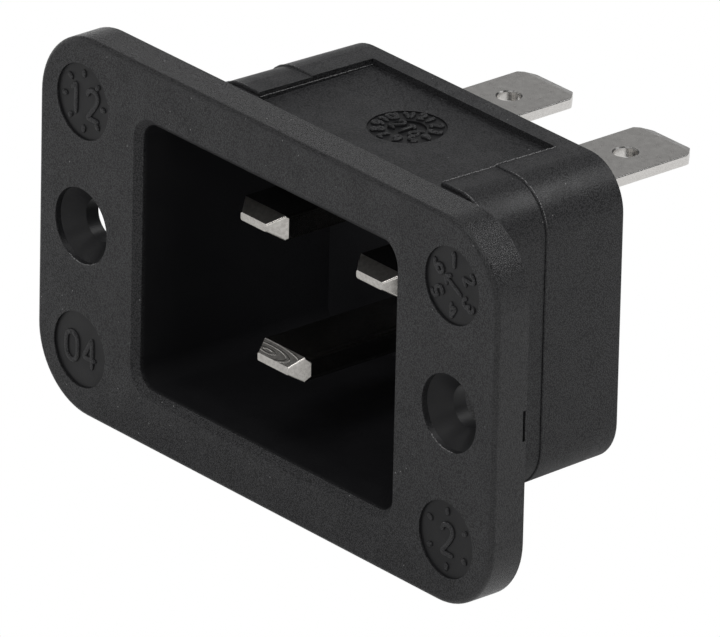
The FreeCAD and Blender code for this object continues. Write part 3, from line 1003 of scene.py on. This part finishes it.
@dataclass(frozen=True)
class LipBurr:
    """Ragged burr along part of the lip of a countersunk hole."""

    name: str
    side: int
    from_deg: float
    to_deg: float
    radius_mm: float = 2.95
    width_mm: float = 0.11
    waves: Span = (29.0, 17.0)
    width_shares: Span = (0.35, 0.65)
    taper: float = 8.0
    least_end: float = 0.1
    steps: int = 120

    def build(self, face: float, material: bpy.types.Material) -> None:
        """Make the burr as a bead of ragged width on an arc just under the face.

        With t the share of the way, a and b the waves in radians and k the side, the width's share is
        a mean plus a swing times the size of sin(a t + k) sin(b t), times the taper's share of the way
        to the nearer end.

        Args:
            face: place of the flange's front face, in metres.
            material: the burr's finish.
        """
        share = np.linspace(0.0, 1.0, self.steps)
        (short, long), (mean, swing) = self.waves, self.width_shares
        ragged = mean + swing * np.abs(np.sin(short * share + self.side) * np.sin(long * share))
        fade = np.clip(self.taper * np.minimum(share, 1 - share), self.least_end, 1.0)
        half = self.width_mm / 2 * ragged * fade
        angle = np.radians(self.from_deg + (self.to_deg - self.from_deg) * share)
        x = self.side * screw_pitch() / 2 + self.radius_mm * np.cos(angle)
        line = np.column_stack([x, face / MM + half, self.radius_mm * np.sin(angle)])
        vertices, faces = bead(line, half, half, FORWARD, FLASH_SIDES)
        add_moulded(self.name, vertices * MM, faces, material)


@dataclass(frozen=True)
class Housing:
    """The moulding's looks: its finish, a raised dial in each sunk disc, flash and burr."""

    finish: MouldedPlastic = MouldedPlastic()
    flash_lines: tuple[FlashLine, ...] = (
        FlashLine("flash_right_rim", 10.22, 5.0, 15.7),
        FlashLine("flash_left_ledge", -10.14, 5.0, 15.7, 0.09),
    )
    burrs: tuple[LipBurr, ...] = (
        LipBurr("burr_right_hole", 1, -135.0, -75.0),
        LipBurr("burr_left_hole", -1, -120.0, -50.0),
    )
    band_flashes: tuple[BandFlash, ...] = (
        BandFlash("flash_first_band_right", 5.05, 1),
        BandFlash("flash_first_band_left", 5.05, -1),
        BandFlash("flash_second_band_right", 10.1, 1),
        BandFlash("flash_second_band_left", 10.1, -1),
    )

    def dress(self, effects: SurfaceEffects) -> None:
        """Give the node its finish and add the small moulded pieces.

        Args:
            effects: the shared node groups.
        """
        material = self.finish.material(effects)
        frame["nodes"]["housing"].material_slots[0].material = material
        LOG.info("housing dressed in %s", material.name)
        for mark, seat in self.marks():
            mark.build(seat, material)
        # Flash and burr share a pale finish, partly whitened plastic and partly a painted glint.
        flash_glint_material = FLASH_WHITENING_AND_PAINTED_GLINT.material(effects)
        for flash in self.flash_lines:
            flash.build(self.edge(flash.rays()), flash_glint_material)
        for burr in self.burrs:
            burr.build(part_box("housing")[0].y, flash_glint_material)
        for flash in self.band_flashes:
            flash.build(self.edge(flash.rays()), flash_glint_material)

    def marks(self) -> list[tuple[DialMark, Matrix]]:
        """The dials with their seats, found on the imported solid.

        Returns:
            Each mark, and the directions and middle of its disc.
        """
        low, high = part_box("housing")
        x, z = screw_pitch() / 2 * MM, high.z - self.finish.disc_from_edge_mm * MM
        facing_front = Matrix(((1, 0, 0), (0, 0, -1), (0, 1, 0))).to_4x4()
        found = []
        for mark, right, up in FLANGE_DIALS:
            disc = self.meet(Vector((right * x, low.y - MM, up * z)), Vector((0, 1, 0)))
            found.append((mark, Matrix.Translation(disc) @ facing_front))
        above = Vector((0, high.y - self.finish.stamp_from_rear_mm * MM, high.z + MM))
        down = Vector((0, 0, -1))
        ring = self.meet(above + Vector((POCKET_STAMP.numeral_ring_mm * MM, 0, 0)), down)
        ring.x = 0.0
        found.append((POCKET_STAMP, Matrix.Translation(ring)))
        found.append((POCKET_DIAL, Matrix.Translation(self.meet(above, down))))
        return found

    def edge(self, rays: list[tuple[Vector, Vector]]) -> np.ndarray:
        """Places where some rays meet the housing, one a row."""
        return np.array([self.meet(start, way) for start, way in rays])

    @staticmethod
    def meet(start: Vector, way: Vector) -> Vector:
        """Where a ray first meets the housing.

        Args:
            start: a point outside the solid.
            way: direction of the ray.

        Returns:
            The point met.
        """
        hit, point, _, _ = frame["nodes"]["housing"].ray_cast(start, way)
        if not hit:
            raise ValueError(f"nothing met from {tuple(start)}")
        return point


@dataclass(frozen=True)
class Contacts:
    """Looks of the pins and the terminals."""

    pins: tuple[str, ...] = ("line_pin", "neutral_pin", "earth_pin")
    terminals: tuple[str, ...] = ("line_terminal", "neutral_terminal", "earth_terminal")

    def dress(self, effects: SurfaceEffects) -> None:
        """Give each node its plate.

        Args:
            effects: the shared node groups.
        """
        for names, plate in ((self.pins, PIN_PLATE), (self.terminals, TERMINAL_PLATE)):
            material = plate.material(effects)
            for name in names:
                frame["nodes"][name].material_slots[0].material = material
                LOG.info("%s dressed in %s", name, material.name)


@dataclass(frozen=True)
class SoftLamp:
    """Square soft lamp that looks at the part."""

    name: str
    place: Triple
    size: float
    power: float

    def build(self) -> None:
        """Add the lamp, with its back along the line from the part."""
        lamp = bpy.data.lights.new(self.name, "AREA")
        lamp.size = self.size
        lamp.energy = self.power
        stand = bpy.data.objects.new(self.name, lamp)
        stand.location = self.place
        stand.rotation_mode = "QUATERNION"
        stand.rotation_quaternion = Vector(self.place).to_track_quat("Z", "Y")
        bpy.context.scene.collection.objects.link(stand)


@dataclass(frozen=True)
class Studio:
    """Pale cove, soft lamps and even surrounding light. Sizes are in metres."""

    floor_below: float = 0.0003
    floor_inner: float = 0.5
    floor_radius: float = 2.2
    cove_radius: float = 0.5
    bend_steps: int = 13
    turn_steps: int = 72
    floor_colour: Colour = (0.85, 0.85, 0.85, 1.0)
    mirrored: float = 0.6
    # Painted shadow in what mirrors see of the paper: its share, middle and reach.
    shadow: float = 0.2
    shadow_middle: Triple = (0.0, 0.009, 0.0)
    shadow_reach: Span = (0.018, 0.03)
    surround: float = 0.17
    lamps: tuple[SoftLamp, ...] = (
        SoftLamp("top_lamp", (0.08, -0.2, 0.88), 0.5, 2.8),
        SoftLamp("rear_top_lamp", (0.25, 0.5, 0.64), 0.3, 3.0),
        SoftLamp("rear_left_lamp", (-0.62, 0.53, 0.37), 0.7, 0.2),
        SoftLamp("left_front_lamp", (-0.62, -0.5, 0.43), 0.3, 0.8),
        SoftLamp("front_top_lamp", (0.2, -0.66, 0.72), 0.25, 1.4),
        SoftLamp("front_right_lamp", (0.62, -0.62, 0.16), 0.5, 1.0),
    )

    def build(self) -> None:
        """Add the cove, the lamps and the world."""
        self._cove()
        for lamp in self.lamps:
            lamp.build()
        world = bpy.data.worlds.new("surround")
        world.use_nodes = True
        background = world.node_tree.nodes["Background"].inputs
        background["Strength"].default_value = self.surround
        background["Color"].default_value = WHITE
        bpy.context.scene.world = world
        bpy.context.scene.view_settings.view_transform = "Standard"
        LOG.info("studio: %d lamps", len(self.lamps))

    def _cove(self) -> bpy.types.Object:
        """Bowl-shaped floor: a flat run and a quarter round, turned about the upright axis.

        Returns:
            The floor.
        """
        bend = np.linspace(0.0, math.pi / 2, self.bend_steps)
        outer = self.floor_radius + self.cove_radius * np.sin(bend)
        radius = np.concatenate([[0.0, self.floor_inner], outer])
        height = np.concatenate([[0.0, 0.0], self.cove_radius * (1 - np.cos(bend))])
        count = self.turn_steps
        turn = np.arange(count) * 2 * math.pi / count
        x, y = radius[:, None] * np.cos(turn), radius[:, None] * np.sin(turn)
        z = np.broadcast_to(CAD_BOX[0].z - self.floor_below + height[:, None], x.shape)
        ring = np.arange(len(radius) - 1)[:, None] * count
        here, after = np.arange(count), (np.arange(count) + 1) % count
        quads = np.stack([ring + here, ring + count + here, ring + count + after, ring + after], -1)
        vertices = np.stack([x, y, z], -1).reshape(-1, 3)
        return new_piece("cove", vertices, quads.reshape(-1, 4), self._paper())

    def _paper(self) -> bpy.types.Material:
        """Pale paper.

        It is white to the camera and through glass; mirrors see it white except in a painted shadow
        round the part, where it is dimmer. To any other light it is matt.

        Returns:
            The material.
        """
        material, graph = new_material("paper")
        rays = graph.add("ShaderNodeLightPath").outputs
        ground = graph.add("ShaderNodeTexCoord").outputs["Object"]
        # Painted shadow: a disc round the part where the mirrored white is dimmed.
        offset = graph.vector("SUBTRACT", ground, self.shadow_middle)
        away = graph.length(graph.vector("MULTIPLY", offset, (1, 1, 0)))
        mirror = graph.step(away, self.shadow_reach, (self.shadow * self.mirrored, self.mirrored))
        glossy = graph.product(rays["Is Glossy Ray"], mirror)
        seen = graph.highest(rays["Is Camera Ray"], glossy, rays["Is Transmission Ray"])
        matt = graph.add("ShaderNodeBsdfDiffuse", {"Color": self.floor_colour})
        white = graph.add("ShaderNodeEmission", {"Color": WHITE, "Strength": 1.0})
        graph.surface("ShaderNodeMixShader", {0: seen, 1: matt.outputs[0], 2: white.outputs[0]})
        return material


@dataclass(frozen=True)
class PhotoCamera:
    """Long-lens camera at the photograph's angle."""

    target_mm: Triple = (10.556, -2.78, 3.699)
    azimuth_deg: float = 49.33
    elevation_deg: float = 24.21
    roll_deg: float = 1.288
    distance_mm: float = 982.35
    focal_px: float = 13763.0
    sensor_mm: float = 36.0
    clip_m: float = 10.0

    def build(self) -> None:
        """Add the camera and make it the scene's own."""
        azimuth, elevation = math.radians(self.azimuth_deg), math.radians(self.elevation_deg)
        roll = math.radians(self.roll_deg)
        flat = math.cos(elevation)
        back = Vector((math.sin(azimuth) * flat, -math.cos(azimuth) * flat, math.sin(elevation)))
        level = Vector((math.cos(azimuth), math.sin(azimuth), 0.0))
        upright = back.cross(level)
        right = math.cos(roll) * level + math.sin(roll) * upright
        up = math.cos(roll) * upright - math.sin(roll) * level
        lens = bpy.data.cameras.new("photo_camera")
        lens.sensor_width = self.sensor_mm
        lens.lens = self.focal_px / IMAGE_WIDTH_PX * self.sensor_mm
        lens.clip_end = self.clip_m
        camera = bpy.data.objects.new("photo_camera", lens)
        stand = Matrix.Translation((Vector(self.target_mm) + back * self.distance_mm) * MM)
        camera.matrix_world = stand @ Matrix((right, up, back)).transposed().to_4x4()
        bpy.context.scene.collection.objects.link(camera)
        bpy.context.scene.camera = camera


def main() -> None:
    """Dress the part and set up its picture."""
    logging.basicConfig(level=logging.INFO, format="%(name)s: %(message)s")
    effects = SurfaceEffects()
    Housing().dress(effects)
    Contacts().dress(effects)
    Studio().build()
    PhotoCamera().build()


if __name__ == "__main__":
    main()
